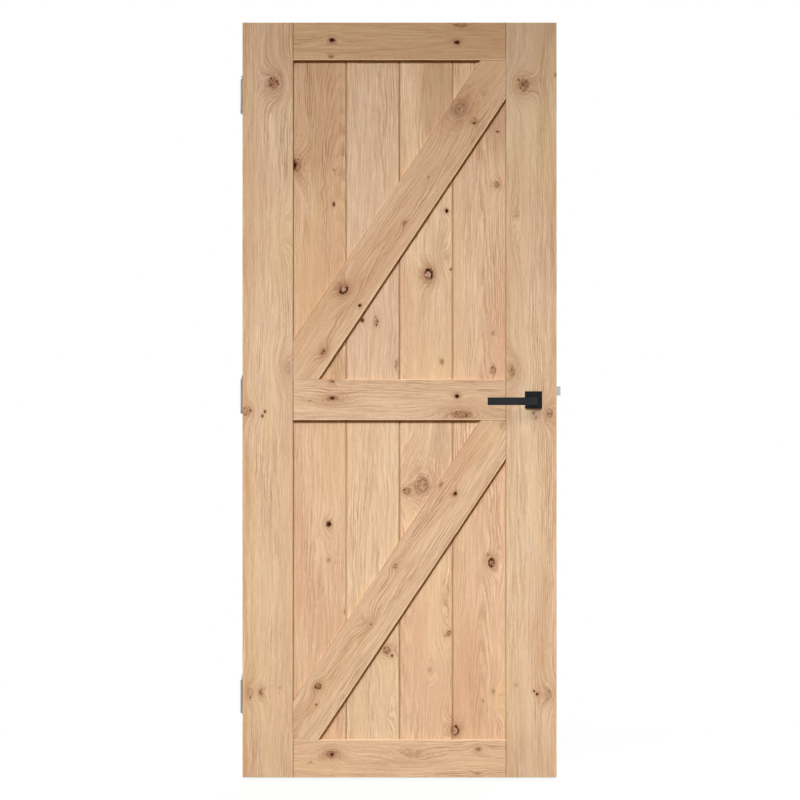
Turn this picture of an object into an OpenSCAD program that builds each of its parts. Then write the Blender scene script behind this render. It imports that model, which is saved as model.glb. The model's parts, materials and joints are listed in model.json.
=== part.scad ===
// Framed and braced oak door leaf with butt hinges, a mortise latch and a pair of lever handles.
// Millimetres. X runs from the hinge edge to the lock edge, the front faces -Y and Z is up.
// The origin is the middle of the foot of the leaf, at half its thickness.

/* [Leaf] */
// Width of the leaf
leaf_w = 880; // [780:10:1030]
// Height of the leaf
leaf_h = 2115; // [1915:5:2315]
// Thickness of the stiles and rails
leaf_t = 40; // [38:1:50]
// Chamfer on every edge of the wood that shows
arris = 1; // [0.5:0.25:2]

/* [Stiles and rails] */
// Width of each stile
stile_w = 142; // [130:1:165]
// Height of the top rail
top_rail_h = 106; // [90:1:150]
// Height of the lock rail
lock_rail_h = 115; // [90:1:160]
// Height of the bottom rail
bottom_rail_h = 106; // [90:1:200]
// Height of the middle of the lock rail above the foot
lock_rail_z = 1058; // [950:1:1150]
// Depth of the groove that holds the boards
groove_d = 12; // [8:1:16]
// Wood between the end of a tenon and the latch pocket
tenon_wall = 5; // [3:1:10]
// Wood beyond a tenon at the head and foot of the leaf
tenon_shoulder = 25; // [15:1:40]
// Glue gap on the cheeks of joints and grooves
joint_gap = 0.1; // [0.05:0.05:0.25]

/* [Boards] */
// Thickness of the boards
board_t = 20; // [16:1:24]
// Chamfer that makes half of a V-joint
v_joint = 2.5; // [1.5:0.25:4]
// Thickness of the tongues
tongue_t = 6; // [4:0.5:8]
// Length of the tongues
tongue_l = 6; // [4:0.5:8]
// Gap between two boards, to let them swell
board_gap = 0.6; // [0.3:0.1:1]

/* [Braces] */
// Width of the braces
brace_w = 120; // [80:1:150]

/* [Hinges] */
// Height of a hinge
hinge_h = 102; // [89:1:127]
// Width of the plate that is let into the edge of the leaf
hinge_leaf_w = 30; // [26:1:33]
// Thickness of the plates
hinge_plate_t = 3; // [2.5:0.25:4]
// Diameter of the pin
hinge_pin_d = 7; // [6:0.25:8]
// Gap between the edge of the leaf and the door frame
hinge_gap = 3; // [2:0.25:4]
// Distance of the pin's axis behind the back face of the leaf
hinge_pin_out = 8.5; // [8:0.25:12]
// Radius of the corners of the plates
hinge_corner_r = 8; // [4:1:12]
// Distance from the head of the leaf to the middle of the top hinge
hinge_from_head = 200; // [150:5:300]
// Distance from the foot of the leaf to the middle of the bottom hinge
hinge_from_foot = 230; // [150:5:300]
// Diameter of the hinge screws
hinge_screw_d = 4.5; // [4:0.25:5]
// Length of the hinge screws
hinge_screw_l = 35; // [25:1:50]
// Distance between the outer two screws of a plate
hinge_row_outer = 76; // [66:1:80]
// Distance between the inner two screws of a plate
hinge_row_inner = 26; // [20:1:34]

/* [Latch] */
// Distance from the lock edge to the axis of the levers
backset = 65; // [60:1:70]
// Height of the axis of the levers above the foot
spindle_z = 1058; // [950:1:1150]
// Side of the square spindle
spindle_w = 8; // [7:0.5:9]
// How far the latch bolt stands out
latch_throw = 12; // [10:0.5:13]
// Angle of the lever from rest to its stop
lever_turn = 40; // [36:1:45]
// Height of the latch bolt
bolt_h = 26; // [20:1:30]
// Thickness of the latch bolt
bolt_t = 9.6; // [8:0.2:10.4]
// Thickness of the latch case
case_t = 14; // [13.5:0.25:16]
// Thickness of the case's sheet
case_wall = 1.2; // [1:0.1:1.4]
// Depth of the case behind the axis of the levers
case_back = 35; // [32:1:38]
// Length of the forend
forend_l = 165; // [150:1:200]
// Width of the forend
forend_w = 20; // [18:1:24]
// Thickness of the forend
forend_t = 3; // [2:0.5:4]

/* [Handles] */
// Side of the square rose
rose_w = 48; // [46:1:55]
// Thickness of the rose
rose_t = 9; // [8:0.5:12]
// Wall of the rose
rose_wall = 1.5; // [1:0.25:2]
// Distance between the two bolts that clamp the roses
rose_bolt_pitch = 38; // [36:0.5:41]
// Distance from the axis to the tip of the lever
lever_l = 129; // [110:1:145]
// Height of the lever's bar and neck
lever_h = 21.5; // [20:0.5:24]
// How far the lever's bar and neck hang below the axis
lever_drop = 4; // [0:0.5:4]
// Thickness of the lever's bar
lever_bar_t = 10; // [8:0.5:14]
// Distance from the face of the leaf to the front of the lever
lever_out = 54; // [48:1:65]
// Chamfer on the edges of the lever
lever_edge = 0.8; // [0.4:0.1:1.5]

/* [Hidden] */
$fn = 48;

// Leaf and panel openings
half_w = leaf_w / 2;
half_t = leaf_t / 2;
open_w = leaf_w - 2 * stile_w;
lower_z0 = bottom_rail_h;
lower_z1 = lock_rail_z - lock_rail_h / 2;
upper_z0 = lock_rail_z + lock_rail_h / 2;
upper_z1 = leaf_h - top_rail_h;
board_count = 4;
board_pitch = open_w / board_count;
board_in = groove_d - 1;

// Hinge
pin_x = -half_w - hinge_gap / 2;
pin_y = half_t + hinge_pin_out;
pin_r = hinge_pin_d / 2;
pin_fit = 0.05;
knuckle_r = pin_r + hinge_plate_t;
knuckle_count = 5;
knuckle_gap = 1;
knuckle_l = (hinge_h - (knuckle_count - 1) * knuckle_gap) / knuckle_count;
plate_gap = 0.6;
hinge_top_z = leaf_h - hinge_from_head;
hinge_bottom_z = hinge_from_foot;
hinge_middle_z = (hinge_top_z + hinge_bottom_z) / 2;
hinge_hole_r = hinge_screw_d / 2 + 0.25;
hinge_outer_y = half_t - hinge_leaf_w + 9;
hinge_inner_y = half_t - 9;

// Latch
spindle_x = half_w - backset;
bearing_r = 8;
bearing_fit = 0.05;
hub_r = bearing_r + 2.5;
case_in = case_t / 2 - case_wall;
arm_r = latch_throw / (2 * sin(lever_turn / 2));
finger_r = 3;
finger_t = 6;
tail_r = 3;
drive_gap = 0.3;
drive_z = spindle_z + arm_r * (1 + cos(lever_turn / 2)) / 2;
drive_x = spindle_x + latch_throw / 2 - 2 * finger_r - drive_gap;
latch_z = spindle_z + arm_r + finger_r + tail_r + 1.5;
case_x0 = spindle_x - case_back;
case_x1 = half_w - forend_t;
case_z0 = spindle_z - arm_r - 11;
case_z1 = latch_z + bolt_h / 2 + 6;
case_mid_z = (case_z0 + case_z1) / 2;
bolt_in = case_x1 - case_wall;
bolt_back = bolt_in - latch_throw - 7;
bolt_collar = 1.5;
guide_x = spindle_x + latch_throw / 2 + finger_r + 7;
guide_t = 1.5;
spring_wire = 1.2;
latch_spring_r = tail_r + 1.8;
return_spring_r = 3.6;
return_x0 = spindle_x - latch_throw / 2 + finger_r + drive_gap;
return_l = latch_throw + 16;
pocket_gap = 0.5;
tenon_l = stile_w - backset - case_back - pocket_gap - tenon_wall;
post_r = 2.8;
cover_screw_r = 1.5;
posts = [[case_x0 + 6, case_z0 + 6], [case_x0 + 6, case_z1 - 6], [case_x1 - 8, case_z0 + 6]];

// Handles
collar_r = lever_h / 2 - 1.25;
collar_fit = 0.05;
bush_r = collar_r + 2.6;
rose_base_t = rose_t - rose_wall - 0.2;
rose_base_w = rose_w - 2 * rose_wall - 0.4;
rose_bolt_r = 2;
rose_bolt_at = rose_bolt_pitch / 2 * sqrt(0.5);
spindle_reach = lever_out - lever_bar_t - 8;
spindle_fit = 0.05;
lever_z0 = -lever_h / 2 - lever_drop;
lever_z1 = lever_h / 2 - lever_drop;
grub_at = (rose_t + 6 + spindle_reach) / 2;
grub_r = 2.5;

oak = [0.86, 0.72, 0.57];
oak_dark = [0.80, 0.65, 0.50];
steel = [0.74, 0.75, 0.76];
zinc = [0.66, 0.67, 0.69];
black = [0.15, 0.17, 0.18];
nylon = [0.90, 0.90, 0.87];

// Rectangle with its four corners cut
function cut_rect(a0, a1, b0, b1, c) = [[a0 + c, b0], [a1 - c, b0], [a1, b0 + c], [a1, b1 - c],
  [a1 - c, b1], [a0 + c, b1], [a0, b1 - c], [a0, b0 + c]];

// Stands a flat outline drawn in Y and Z on end and gives it a length along X
module along_x(x0, x1)
  translate([x0, 0, 0])
    rotate([90, 0, 90])
      linear_extrude(x1 - x0)
        children();

// Turns an outline drawn in X and Z to face the front and gives it a depth from y0 to y1
module along_y(y0, y1)
  translate([0, y1, 0])
    rotate([90, 0, 0])
      linear_extrude(y1 - y0)
        children();

// Block with chamfers round its front and back faces
module eased_block(x0, x1, y0, y1, z0, z1, c)
  intersection() {
    along_x(x0, x1)
      polygon(cut_rect(y0, y1, z0, z1, c));
    translate([0, 0, z0])
      linear_extrude(z1 - z0)
        polygon(cut_rect(x0, x1, y0, y1, c));
  }

module box(x0, x1, y0, y1, z0, z1)
  translate([x0, y0, z0])
    cube([x1 - x0, y1 - y0, z1 - z0]);

// Round rod along X or Y
module rod_x(x0, x1, y, z, r)
  translate([x0, y, z])
    rotate([0, 90, 0])
      cylinder(h = x1 - x0, r = r);

module rod_y(x, z, y0, y1, r)
  translate([x, y1, z])
    rotate([90, 0, 0])
      cylinder(h = y1 - y0, r = r);

// Countersunk wood screw along X, its head's face at the origin
module wood_screw(d, l, clear)
  rotate([0, 90, 0])
    rotate_extrude()
      polygon([[0, -clear], [d + clear, -clear], [d + clear, 0.3], [d / 2 + clear, 0.3 + d / 2],
        [d / 2 + clear, l - 1.6 * d], [0.4 + clear, l + clear], [0, l + clear]]);

// Hole for a countersunk screw through a plate, along X
module countersunk_hole(r, d, depth)
  rotate([0, 90, 0])
    rotate_extrude()
      polygon([[0, -0.5], [d + 0.15, -0.5], [d + 0.15, 0.2], [r, 0.2 + d + 0.15 - r],
        [r, depth], [0, depth]]);

// Coil of round wire along X from the origin
module coil(r, wire, l, turns) {
  sides = 8;
  steps = 14 * turns;
  points = [for (i = [0:steps]) for (j = [0:sides - 1])
    let (a = 360 * turns * i / steps)
    let (b = 360 * j / sides)
    let (q = r + wire / 2 * cos(b))
    [wire / 2 + (l - wire) * i / steps + wire / 2 * sin(b), q * cos(a), q * sin(a)]];
  skin = [for (i = [0:steps - 1]) for (j = [0:sides - 1])
    let (k = (j + 1) % sides)
    [i * sides + j, i * sides + k, (i + 1) * sides + k, (i + 1) * sides + j]];
  first = [for (j = [0:sides - 1]) sides - 1 - j];
  last = [for (j = [0:sides - 1]) steps * sides + j];
  polyhedron(points, concat(skin, [first], [last]), convexity = 10);
}

// Stile with its foot at the origin's height; the hinge stile lies at the negative side
module stile() {
  in = -half_w + stile_w;
  difference() {
    eased_block(-half_w, in, -half_t, half_t, 0, leaf_h, arris);
    for (z = [[lower_z0, lower_z1], [upper_z0, upper_z1]])
      box(in - groove_d, in + 1, -board_t / 2 - joint_gap, board_t / 2 + joint_gap,
        z[0] - groove_d, z[1] + groove_d);
    for (z = tenon_rows)
      box(in - tenon_l - 1, in + 1, -board_t / 2 - joint_gap, board_t / 2 + joint_gap,
        z[0] - joint_gap, z[1] + joint_gap);
  }
}

tenon_rows = [[tenon_shoulder, lower_z0 - groove_d - 2],
  [lower_z1 + groove_d + 2, upper_z0 - groove_d - 2],
  [upper_z1 + groove_d + 2, leaf_h - tenon_shoulder]];

// Outline of a hinge plate in Y and Z, round at its two inner corners
module plate_outline(grow, y1) {
  y0 = half_t - hinge_leaf_w - grow;
  h = hinge_h / 2 + grow;
  r = hinge_corner_r + grow;
  translate([y0 + r, -h])
    square([y1 - y0 - r, 2 * h]);
  translate([y0, -h + r])
    square([2 * r, 2 * h - 2 * r]);
  for (s = [-1, 1])
    translate([y0 + r, s * (h - r)])
      circle(r);
}

hinge_rows = [hinge_top_z, hinge_middle_z, hinge_bottom_z];
door_holes = [[hinge_inner_y, hinge_row_outer / 2], [hinge_inner_y, -hinge_row_outer / 2],
  [hinge_outer_y, hinge_row_inner / 2], [hinge_outer_y, -hinge_row_inner / 2]];
frame_holes = [[hinge_outer_y, hinge_row_outer / 2], [hinge_outer_y, -hinge_row_outer / 2],
  [hinge_inner_y, hinge_row_inner / 2], [hinge_inner_y, -hinge_row_inner / 2]];

module hinge_stile()
  color(oak)
    difference() {
      stile();
      for (z = hinge_rows)
        translate([0, 0, z]) {
          along_x(-half_w - 1, -half_w + hinge_plate_t)
            plate_outline(joint_gap, half_t + 1);
          for (h = door_holes)
            translate([-half_w, h[0], h[1]])
              wood_screw(hinge_screw_d, hinge_screw_l, 0.05);
        }
    }

// Outline of the forend in Y and Z, with round ends
module forend_outline(grow) {
  r = forend_w / 2 + grow;
  l = forend_l - forend_w;
  translate([-r, -l / 2])
    square([2 * r, l]);
  for (s = [-1, 1])
    translate([0, s * l / 2])
      circle(r);
}

forend_screw_d = 4;
forend_screw_l = 25;
forend_screw_z = forend_l / 2 - 9;

module lock_stile()
  color(oak)
    difference() {
      mirror([1, 0, 0])
        stile();
      translate([0, 0, case_mid_z]) {
        along_x(half_w - forend_t, half_w + 1)
          forend_outline(joint_gap);
        for (s = [-1, 1])
          translate([half_w, 0, s * forend_screw_z])
            mirror([1, 0, 0])
              wood_screw(forend_screw_d, forend_screw_l, 0.05);
      }
      box(case_x0 - pocket_gap, half_w, -case_t / 2 - pocket_gap, case_t / 2 + pocket_gap,
        case_z0 - pocket_gap, case_z1 + pocket_gap);
      rod_y(spindle_x, spindle_z, -half_t - 1, half_t + 1, bearing_r + 1.5);
      for (s = [-1, 1])
        rod_y(spindle_x + s * rose_bolt_at, spindle_z + s * rose_bolt_at, -half_t - 1, half_t + 1,
          rose_bolt_r + 1);
    }

// Rail between the stiles, grooved where a panel meets it
module rail(z0, z1, tenon, grooves)
  color(oak_dark)
    difference() {
      union() {
        eased_block(-open_w / 2, open_w / 2, -half_t, half_t, z0, z1, arris);
        box(-open_w / 2 - tenon_l, open_w / 2 + tenon_l, -board_t / 2, board_t / 2, tenon[0], tenon[1]);
      }
      for (z = grooves)
        box(-half_w, half_w, -board_t / 2 - joint_gap, board_t / 2 + joint_gap, z[0], z[1]);
    }

module top_rail()
  rail(upper_z1, leaf_h, tenon_rows[2], [[upper_z1 - 1, upper_z1 + groove_d]]);

module lock_rail()
  rail(lower_z1, upper_z0, tenon_rows[1],
    [[lower_z1 - 1, lower_z1 + groove_d], [upper_z0 - groove_d, upper_z0 + 1]]);

module bottom_rail()
  rail(0, lower_z0, tenon_rows[0], [[lower_z0 - groove_d, lower_z0 + 1]]);

// Half outlines of a board's two edges, seen from above
function board_left(x, i) = i == 1 ? [[x - board_in, board_t / 2], [x - board_in, -board_t / 2]] :
  let (b = x + board_gap / 2)
  let (h = board_t / 2)
  let (t = tongue_t / 2 + 0.2)
  let (l = tongue_l + 0.6)
  [[b + v_joint, h], [b, h - v_joint], [b, t], [b + l, t],
    [b + l, -t], [b, -t], [b, v_joint - h], [b + v_joint, -h]];

function board_right(x, i) = i == board_count ? [[x + board_in, -board_t / 2], [x + board_in, board_t / 2]] :
  let (b = x - board_gap / 2)
  let (h = board_t / 2)
  let (t = tongue_t / 2)
  [[b - v_joint, -h], [b, v_joint - h], [b, -t], [b + tongue_l, -t],
    [b + tongue_l, t], [b, t], [b, h - v_joint], [b - v_joint, h]];

module board(i, z0, z1) {
  x = -open_w / 2 + (i - 1) * board_pitch;
  color(oak)
    translate([0, 0, z0 - board_in])
      linear_extrude(z1 - z0 + 2 * board_in)
        polygon(concat(board_left(x, i), board_right(x + board_pitch, i)));
}

module upper_board(i)
  board(i, upper_z0, upper_z1);

module lower_board(i)
  board(i, lower_z0, lower_z1);

// Brace along the diagonal of a panel, its outer face level with the stiles at the front
module brace(z0, z1) {
  slope = atan2(z1 - z0, open_w);
  reach = open_w + z1 - z0;
  g = joint_gap;
  color(oak_dark)
    intersection() {
      translate([0, 0, (z0 + z1) / 2])
        rotate([0, -slope, 0])
          along_x(-reach / 2, reach / 2)
            polygon(cut_rect(-half_t, half_t, -brace_w / 2, brace_w / 2, arris));
      box(-open_w / 2 + g, open_w / 2 - g, -half_t, -board_t / 2, z0 + g, z1 - g);
    }
}

module upper_brace_front()
  brace(upper_z0, upper_z1);

module lower_brace_front()
  brace(lower_z0, lower_z1);

module upper_brace_back()
  mirror([0, 1, 0])
    brace(upper_z0, upper_z1);

module lower_brace_back()
  mirror([0, 1, 0])
    brace(lower_z0, lower_z1);

// Height of the foot of a knuckle, counted from below
function knuckle_z(i) = -hinge_h / 2 + i * (knuckle_l + knuckle_gap);

// One half of a hinge about its own middle: own lists its knuckles, other those of its fellow
module hinge_half(x0, x1, own, other, holes, face, turn)
  color(steel)
    difference() {
      union() {
        along_x(x0, x1)
          plate_outline(0, pin_y);
        for (i = own)
          translate([pin_x, pin_y, knuckle_z(i)])
            cylinder(h = knuckle_l, r = knuckle_r);
      }
      for (i = other)
        box(pin_x - 20, pin_x + 20, pin_y - knuckle_r - plate_gap, pin_y + 1,
          knuckle_z(i) - knuckle_gap, knuckle_z(i) + knuckle_l + knuckle_gap);
      translate([pin_x, pin_y, -hinge_h])
        cylinder(h = 2 * hinge_h, r = pin_r + pin_fit);
      for (h = holes)
        translate([face, h[0], h[1]])
          mirror([turn, 0, 0])
            countersunk_hole(hinge_hole_r, hinge_screw_d, hinge_plate_t + 1);
    }

module hinge_door_leaf(z)
  translate([0, 0, z])
    hinge_half(-half_w, -half_w + hinge_plate_t, [1, 3], [0, 2, 4], door_holes, -half_w, 0);

module hinge_frame_leaf(z)
  translate([0, 0, z])
    hinge_half(-half_w - hinge_gap - hinge_plate_t, -half_w - hinge_gap, [0, 2, 4], [1, 3], frame_holes,
      -half_w - hinge_gap, 1);

// Pin with a low button at each end
module hinge_pin(z) {
  e = hinge_h / 2;
  q = knuckle_r - 0.8;
  color(steel)
    translate([pin_x, pin_y, z])
      rotate_extrude()
        polygon([[0, -e - 3], [q - 1.7, -e - 3], [q, -e - 1.6], [q, -e], [pin_r, -e],
          [pin_r, e], [q, e], [q, e + 1.6], [q - 1.7, e + 3], [0, e + 3]]);
}

module hinge_washers()
  color(nylon)
    for (z = hinge_rows)
      for (i = [1:knuckle_count - 1])
        translate([pin_x, pin_y, z + knuckle_z(i) - knuckle_gap + 0.05])
          difference() {
            cylinder(h = knuckle_gap - 0.1, r = knuckle_r - 0.4);
            translate([0, 0, -1])
              cylinder(h = knuckle_gap + 2, r = pin_r + pin_fit + 0.03);
          }

module hinge_screws()
  color(steel)
    for (z = hinge_rows)
      for (h = door_holes)
        translate([-half_w, h[0], z + h[1]])
          difference() {
            wood_screw(hinge_screw_d, hinge_screw_l, 0);
            cross_slot(hinge_screw_d * 0.5);
          }

// Cross recess in a screw head along X
module cross_slot(r)
  for (a = [0, 90])
    rotate([a, 0, 0])
      box(-0.5, r * 0.7, -r * 0.22, r * 0.22, -r, r);

// Latch case: a tray, open to the back, with the guide of the tail and the seat of the return spring
module latch_case()
  color(zinc)
    difference() {
      union() {
        difference() {
          box(case_x0, case_x1, -case_t / 2, case_in, case_z0, case_z1);
          box(case_x0 + case_wall, bolt_in, -case_in, case_in + 1, case_z0 + case_wall, case_z1 - case_wall);
        }
        box(guide_x, guide_x + guide_t, -case_in - 0.1, case_in, latch_z - tail_r - 3, case_z1 - 0.1);
        box(return_x0 + return_l, return_x0 + return_l + guide_t, -case_in - 0.1, case_in, case_z0 + 0.1,
          spindle_z - arm_r + 6);
        for (p = posts)
          rod_y(p[0], p[1], -case_in - 0.1, case_in, post_r);
      }
      case_holes();
      for (p = posts)
        rod_y(p[0], p[1], -case_in + 1, case_in + 1, cover_screw_r + 0.05);
      rod_x(guide_x - 1, guide_x + guide_t + 1, 0, latch_z, tail_r + 0.08);
      bolt_slot();
    }

// Holes that both sides of the case share
module case_holes() {
  rod_y(spindle_x, spindle_z, -case_t, case_t, bearing_r + bearing_fit);
  for (s = [-1, 1])
    rod_y(spindle_x + s * rose_bolt_at, spindle_z + s * rose_bolt_at, -case_t, case_t, rose_bolt_r + 0.6);
}

// Way of the bolt through the front of the case and the forend
module bolt_slot()
  box(bolt_in - 1, half_w + 1, -bolt_t / 2 - 0.15, bolt_t / 2 + 0.15, latch_z - bolt_h / 2 - 0.15,
    latch_z + bolt_h / 2 + 0.15);

module latch_cover()
  color(zinc)
    difference() {
      box(case_x0, case_x1, case_in, case_t / 2, case_z0, case_z1);
      case_holes();
      for (p = posts)
        rod_y(p[0], p[1], -case_t, case_t, cover_screw_r + 0.2);
    }

// Pan-headed screws that hold the cover, their heads sunk in the slack of the pocket
module cover_screws()
  color(steel)
    for (p = posts) {
      rod_y(p[0], p[1], -case_in + 2, case_t / 2 + 0.1, cover_screw_r);
      rod_y(p[0], p[1], case_t / 2, case_t / 2 + pocket_gap - 0.1, cover_screw_r + 1.2);
    }

module latch_forend()
  color(steel)
    difference() {
      translate([0, 0, case_mid_z])
        along_x(half_w - forend_t, half_w)
          forend_outline(0);
      bolt_slot();
      for (s = [-1, 1])
        translate([half_w, 0, case_mid_z + s * forend_screw_z])
          mirror([1, 0, 0])
            countersunk_hole(forend_screw_d / 2 + 0.25, forend_screw_d, forend_t + 1);
    }

module forend_screws()
  color(steel)
    for (s = [-1, 1])
      translate([half_w, 0, case_mid_z + s * forend_screw_z])
        mirror([1, 0, 0])
          difference() {
            wood_screw(forend_screw_d, forend_screw_l, 0);
            cross_slot(forend_screw_d * 0.5);
          }

// Bolt with a bevel to the front, a collar that stops it in the case, a round tail and a drive lug
module latch_bolt()
  color(steel) {
    h = bolt_t / 2;
    translate([0, 0, latch_z - bolt_h / 2])
      linear_extrude(bolt_h)
        polygon([[bolt_back, -h], [half_w + 0.6, -h], [half_w + latch_throw, h - 1.4],
          [half_w + latch_throw, h], [bolt_back, h]]);
    box(bolt_back, bolt_in - 0.2, -h, h, latch_z - bolt_h / 2 - bolt_collar,
      latch_z + bolt_h / 2 + bolt_collar);
    rod_x(drive_x - finger_r - 1, bolt_back + 1, 0, latch_z, tail_r);
    box(drive_x - finger_r, drive_x + finger_r, -finger_t / 2 + 0.2, finger_t / 2 - 0.2, drive_z, latch_z);
    rod_y(drive_x, drive_z, -finger_t / 2 + 0.2, finger_t / 2 - 0.2, finger_r);
  }

module latch_spring()
  color(steel)
    translate([guide_x + guide_t + 0.15, 0, latch_z])
      coil(latch_spring_r, spring_wire, bolt_back - guide_x - guide_t - 0.3, 7);

// Follower with two opposite arms: the upper draws the bolt, the lower bears on the return spring
module follower()
  color(zinc)
    translate([spindle_x, 0, spindle_z])
      difference() {
        union() {
          rod_y(0, 0, -case_in + 0.3, case_in - 0.3, hub_r);
          rod_y(0, 0, -case_t / 2, case_t / 2, bearing_r);
          rotate([0, lever_turn / 2, 0]) {
            box(-finger_r + 0.5, finger_r - 0.5, -finger_t / 2, finger_t / 2, -arm_r, arm_r);
            for (s = [-1, 1])
              rod_y(0, s * arm_r, -finger_t / 2, finger_t / 2, finger_r);
          }
        }
        box(-spindle_w / 2 - spindle_fit, spindle_w / 2 + spindle_fit, -case_t, case_t,
          -spindle_w / 2 - spindle_fit, spindle_w / 2 + spindle_fit);
      }

module follower_spring()
  color(steel)
    translate([return_x0, 0, spindle_z - arm_r * cos(lever_turn / 2)])
      coil(return_spring_r, spring_wire, return_l - 0.15, 8);

module spindle()
  color(steel)
    translate([spindle_x, 0, spindle_z])
      box(-spindle_w / 2, spindle_w / 2, -half_t - spindle_reach + 0.5, half_t + spindle_reach - 0.5,
        -spindle_w / 2, spindle_w / 2);

// Square bar lever for the front, with a round collar that runs in the bush
module front_lever() {
  y_face = -half_t;
  color(black)
    translate([spindle_x, 0, spindle_z])
      difference() {
        union() {
          rod_y(0, 0, y_face - rose_t - 4, y_face - 0.5, collar_r);
          along_y(y_face - lever_out + lever_bar_t / 2, y_face - rose_t - 3)
            polygon(cut_rect(-lever_h / 2, lever_h / 2, lever_z0, lever_z1, lever_edge));
          eased_block(-lever_l, lever_h / 2, y_face - lever_out, y_face - lever_out + lever_bar_t,
            lever_z0, lever_z1, lever_edge);
        }
        box(-spindle_w / 2 - spindle_fit, spindle_w / 2 + spindle_fit, y_face - spindle_reach, y_face + 1,
          -spindle_w / 2 - spindle_fit, spindle_w / 2 + spindle_fit);
        translate([0, y_face - grub_at, lever_z0 - 1])
          cylinder(h = 1 - lever_z0, r = grub_r + 0.05);
      }
}

module back_lever()
  mirror([0, 1, 0])
    front_lever();

// Socket screws that lock the levers on the spindle, from below
module grub_screws()
  color(steel)
    for (s = [-1, 1])
      translate([spindle_x, s * (half_t + grub_at), spindle_z + lever_z0 + 0.4])
        difference() {
          cylinder(h = -lever_z0 - spindle_w / 2 - 0.45, r = grub_r);
          translate([0, 0, -1])
            cylinder(h = 3, r = 1.3, $fn = 6);
        }

// Square cover, open behind, that snaps over its base
module front_rose()
  color(black)
    translate([spindle_x, 0, spindle_z])
      difference() {
        eased_block(-rose_w / 2, rose_w / 2, -half_t - rose_t, -half_t, -rose_w / 2, rose_w / 2, 0.6);
        box(-rose_w / 2 + rose_wall, rose_w / 2 - rose_wall, -half_t - rose_t + rose_wall, -half_t + 1,
          -rose_w / 2 + rose_wall, rose_w / 2 - rose_wall);
        rod_y(0, 0, -half_t - rose_t - 1, -half_t, collar_r + 0.6);
      }

module back_rose()
  mirror([0, 1, 0])
    front_rose();

module rose_base()
  color(zinc)
    translate([spindle_x, 0, spindle_z])
      difference() {
        box(-rose_base_w / 2, rose_base_w / 2, -half_t - rose_base_t, -half_t,
          -rose_base_w / 2, rose_base_w / 2);
        rod_y(0, 0, -half_t - rose_t, -half_t + 1, bush_r + 0.05);
        children();
      }

// Cone that the head of a clamping bolt sinks into
module bolt_sink(clear)
  translate([0, -half_t - rose_base_t, 0])
    rotate([-90, 0, 0])
      rotate_extrude()
        polygon([[0, -clear], [3.6 + clear, -clear], [3.6 + clear, 0.4], [rose_bolt_r + clear, 2.2],
          [0, 2.2]]);

module front_rose_base()
  rose_base()
    for (s = [-1, 1])
      translate([s * rose_bolt_at, 0, s * rose_bolt_at]) {
        bolt_sink(0.1);
        rod_y(0, 0, -half_t - rose_t, -half_t + 1, rose_bolt_r + 0.2);
      }

module back_rose_base()
  mirror([0, 1, 0])
    rose_base()
      for (s = [-1, 1])
        translate([s * rose_bolt_at, 0, s * rose_bolt_at])
          rod_y(0, 0, -half_t - rose_t, -half_t + 1, rose_bolt_r + 0.05);

module rose_bolts()
  color(steel)
    translate([spindle_x, 0, spindle_z])
      for (s = [-1, 1])
        translate([s * rose_bolt_at, 0, s * rose_bolt_at])
          difference() {
            union() {
              bolt_sink(0);
              rod_y(0, 0, -half_t - rose_base_t + 1, half_t + rose_base_t - 0.5, rose_bolt_r);
            }
            translate([0, -half_t - rose_base_t, 0])
              rotate([0, 0, 90])
                cross_slot(2);
          }

module front_bush()
  color(nylon)
    translate([spindle_x, 0, spindle_z])
      difference() {
        rod_y(0, 0, -half_t - rose_base_t, -half_t, bush_r);
        rod_y(0, 0, -half_t - rose_t, -half_t + 1, collar_r + collar_fit);
      }

module back_bush()
  mirror([0, 1, 0])
    front_bush();

hinge_stile();
lock_stile();
top_rail();
lock_rail();
bottom_rail();
upper_board(1);  // upper_board_1
upper_board(2);  // upper_board_2
upper_board(3);  // upper_board_3
upper_board(4);  // upper_board_4
lower_board(1);  // lower_board_1
lower_board(2);  // lower_board_2
lower_board(3);  // lower_board_3
lower_board(4);  // lower_board_4
upper_brace_front();
lower_brace_front();
upper_brace_back();
lower_brace_back();
hinge_door_leaf(hinge_top_z);  // top_hinge_door_leaf
hinge_door_leaf(hinge_middle_z);  // middle_hinge_door_leaf
hinge_door_leaf(hinge_bottom_z);  // bottom_hinge_door_leaf
hinge_frame_leaf(hinge_top_z);  // top_hinge_frame_leaf
hinge_frame_leaf(hinge_middle_z);  // middle_hinge_frame_leaf
hinge_frame_leaf(hinge_bottom_z);  // bottom_hinge_frame_leaf
hinge_pin(hinge_top_z);  // top_hinge_pin
hinge_pin(hinge_middle_z);  // middle_hinge_pin
hinge_pin(hinge_bottom_z);  // bottom_hinge_pin
hinge_washers();
hinge_screws();
latch_case();
latch_cover();
cover_screws();
latch_forend();
forend_screws();
latch_bolt();
latch_spring();
follower();
follower_spring();
spindle();
front_lever();
back_lever();
grub_screws();
front_rose();
back_rose();
front_rose_base();
back_rose_base();
rose_bolts();
front_bush();
back_bush();
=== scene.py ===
import json
import math

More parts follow.
